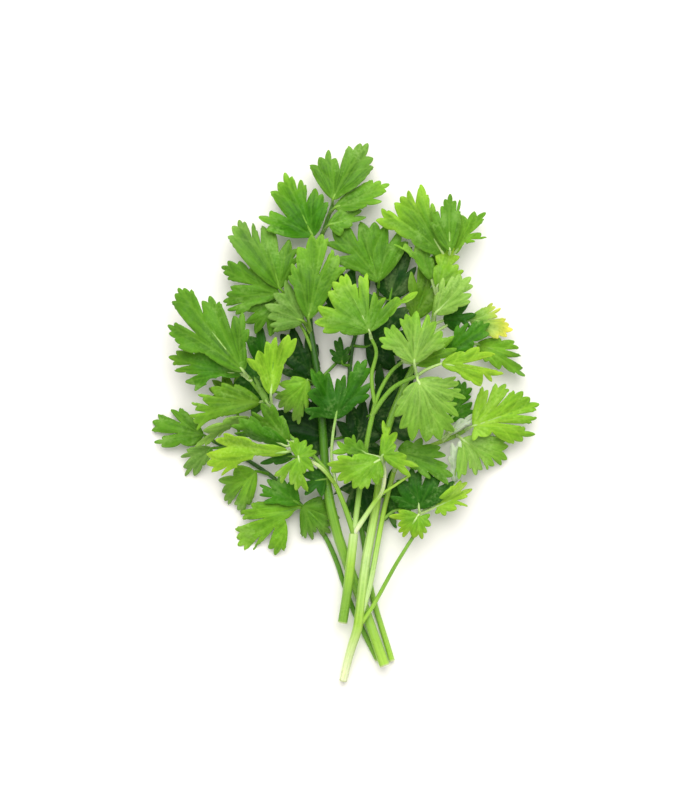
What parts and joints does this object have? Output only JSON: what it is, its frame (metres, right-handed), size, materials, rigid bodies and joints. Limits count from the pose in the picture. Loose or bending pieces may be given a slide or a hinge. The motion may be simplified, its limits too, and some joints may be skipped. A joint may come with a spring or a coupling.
{
  "type": "cilantro bunch",
  "caption": "Loose bunch of flat-leaved green herb stalks with long cut stems and deeply cut, toothed leaflets, lying on its side.",
  "frame": {"origin": "on the surface that the bunch lies on, under the middle of its box", "axes": "+Z up from the surface, +Y along the bunch from its cut ends to its leaf tips, +X to the right seen from above with +Y up"},
  "size_m": [0.1563, 0.2169, 0.035],
  "materials": {
    "stalk_left_green": "satin mid green leaf with a lighter, duller underside",
    "stalk_right_green": "satin dark green leaf, shaded in the middle of the bunch",
    "stalk_middle_green": "satin green leaf with pale veins",
    "stalk_long_green": "satin fresh green leaf, yellowish at the tips",
    "stalk_forked_green": "satin bright yellow-green leaf with pale veins",
    "stem_pale_green": "smooth, slightly glossy ribbed stem, paler towards its cut end"
  },
  "bodies": {
    "root": {"stalk_left": "stalk_left_green", "stalk_right": "stalk_right_green", "stalk_middle": "stalk_middle_green", "stalk_long": "stalk_long_green", "stalk_forked": "stalk_forked_green"}
  },
  "joints": []
}
